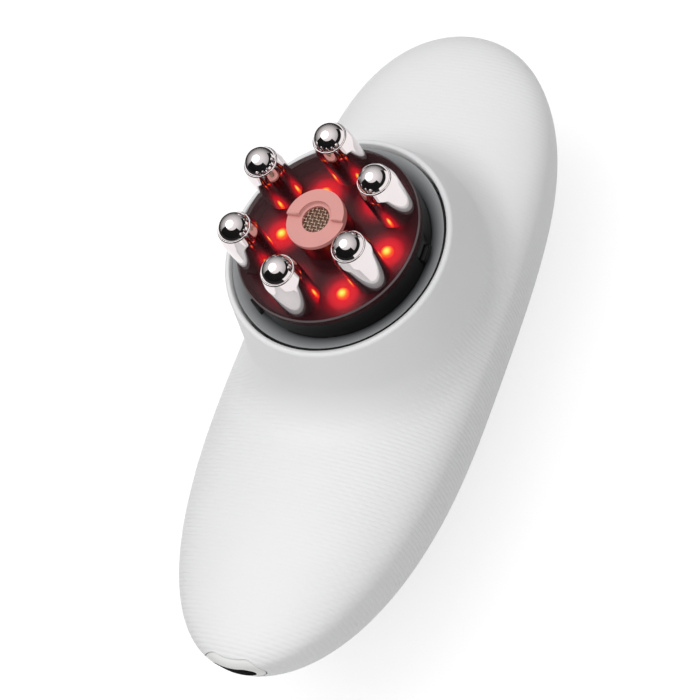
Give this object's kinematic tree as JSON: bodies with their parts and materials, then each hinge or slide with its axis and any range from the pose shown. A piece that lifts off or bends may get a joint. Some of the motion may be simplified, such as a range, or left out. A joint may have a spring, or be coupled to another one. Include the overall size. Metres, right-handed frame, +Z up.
{
  "type": "electric muscle stimulator",
  "caption": "Hand-held electric muscle stimulator: a white pebble-shaped housing with a twist-lock head of chromed electrode posts, rolling balls, side buttons and a charging port.",
  "frame": {"origin": "middle of the length and width on the resting face of the rear cover", "axes": "+X across the housing, away from the buttons; +Y along it from the charging port to the head end; +Z up, along the head's axis"},
  "size_m": [0.066, 0.1759, 0.0918],
  "materials": {
    "shell_white": "satin gloss white",
    "seal_rubber": "matte black",
    "cap_rubber": "matte white",
    "screw_steel": "plain steel",
    "seat_grey": "satin grey",
    "inner_black": "matte black",
    "contact_brass": "plain",
    "board_green": "solder mask",
    "coil_copper": "enamelled winding on a dark core",
    "socket_steel": "plain sheet",
    "bezel_white": "satin light grey",
    "cell_wrap": "shrink film",
    "nickel_strip": "plain strip",
    "plate_grey": "satin grey",
    "pipe_clear": "clear",
    "puck_black": "glossy black",
    "smoked_window": "smoked",
    "lamp_board_black": "black solder mask",
    "lamp_red": "lit red",
    "pillar_dark": "glossy dark red",
    "cap_pale": "satin pale pink",
    "screen_wire": "woven wire",
    "felt_pale": "felt",
    "button_white": "satin white",
    "post_chrome": "polished chrome plate",
    "ball_steel": "polished steel"
  },
  "bodies": {
    "housing": {"front_shell": "shell_white", "head_collar": "shell_white", "rear_cover": "shell_white", "shell_seal": "seal_rubber", "cover_screws": "screw_steel", "screw_caps": "cap_rubber", "seat_ring": "seat_grey", "seat_screws": "screw_steel", "contact_block": "inner_black", "contact_pins": "contact_brass", "main_board": "board_green", "board_screws": "screw_steel", "boost_transformer": "coil_copper", "control_chip": "inner_black", "usb_socket": "socket_steel", "port_bezel": "bezel_white", "battery_cell": "cell_wrap", "battery_strips": "nickel_strip", "button_plate": "plate_grey", "button_board": "board_green", "button_screws": "screw_steel", "push_switches": "inner_black", "light_pipe": "pipe_clear"},
    "head": {"head_cup": "puck_black", "head_lens": "smoked_window", "lamp_board": "lamp_board_black", "red_lamps": "lamp_red", "head_base": "inner_black", "head_contacts": "contact_brass", "post_screws": "screw_steel", "centre_pillar": "pillar_dark", "centre_cap": "cap_pale", "mesh_screen": "screen_wire", "felt_pad": "felt_pale", "electrode_post_1": "post_chrome", "electrode_post_2": "post_chrome", "electrode_post_3": "post_chrome", "electrode_post_4": "post_chrome", "electrode_post_5": "post_chrome", "electrode_post_6": "post_chrome"},
    "power_button": {"power_button": "button_white"},
    "mode_button": {"mode_button": "button_white"},
    "level_button": {"level_button": "button_white"},
    "ball_1": {"ball_1": "ball_steel"},
    "ball_2": {"ball_2": "ball_steel"},
    "ball_3": {"ball_3": "ball_steel"},
    "ball_4": {"ball_4": "ball_steel"},
    "ball_5": {"ball_5": "ball_steel"},
    "ball_6": {"ball_6": "ball_steel"}
  },
  "joints": [
    {"name": "power_button_press", "type": "slide", "parent": "housing", "child": "power_button", "axis": [1, 0, 0], "range_m": [0, 0.0006], "stiffness_N_per_m": 800, "springref_m": -0.0005},
    {"name": "mode_button_press", "type": "slide", "parent": "housing", "child": "mode_button", "axis": [1, 0, 0], "range_m": [0, 0.0006], "stiffness_N_per_m": 800, "springref_m": -0.0005},
    {"name": "level_button_press", "type": "slide", "parent": "housing", "child": "level_button", "axis": [1, 0, 0], "range_m": [0, 0.0006], "stiffness_N_per_m": 800, "springref_m": -0.0005},
    {"name": "head_twist", "type": "hinge", "parent": "housing", "child": "head", "pos_m": [0, 0.0122, 0.0656], "axis": [0, 0, 1], "range_deg": [0, 30]},
    {"name": "ball_1_roll", "type": "hinge", "parent": "head", "child": "ball_1", "pos_m": [0.01531, 0.02068, 0.0878], "axis": [1, 0, 0], "continuous": true},
    {"name": "ball_2_roll", "type": "hinge", "parent": "head", "child": "ball_2", "pos_m": [0.0003, 0.0297, 0.0878], "axis": [1, 0, 0], "continuous": true},
    {"name": "ball_3_roll", "type": "hinge", "parent": "head", "child": "ball_3", "pos_m": [-0.015, 0.02121, 0.0878], "axis": [1, 0, 0], "continuous": true},
    {"name": "ball_4_roll", "type": "hinge", "parent": "head", "child": "ball_4", "pos_m": [-0.01531, 0.00372, 0.0878], "axis": [1, 0, 0], "continuous": true},
    {"name": "ball_5_roll", "type": "hinge", "parent": "head", "child": "ball_5", "pos_m": [-0.0003, -0.0053, 0.0878], "axis": [1, 0, 0], "continuous": true},
    {"name": "ball_6_roll", "type": "hinge", "parent": "head", "child": "ball_6", "pos_m": [0.015, 0.00319, 0.0878], "axis": [1, 0, 0], "continuous": true}
  ]
}
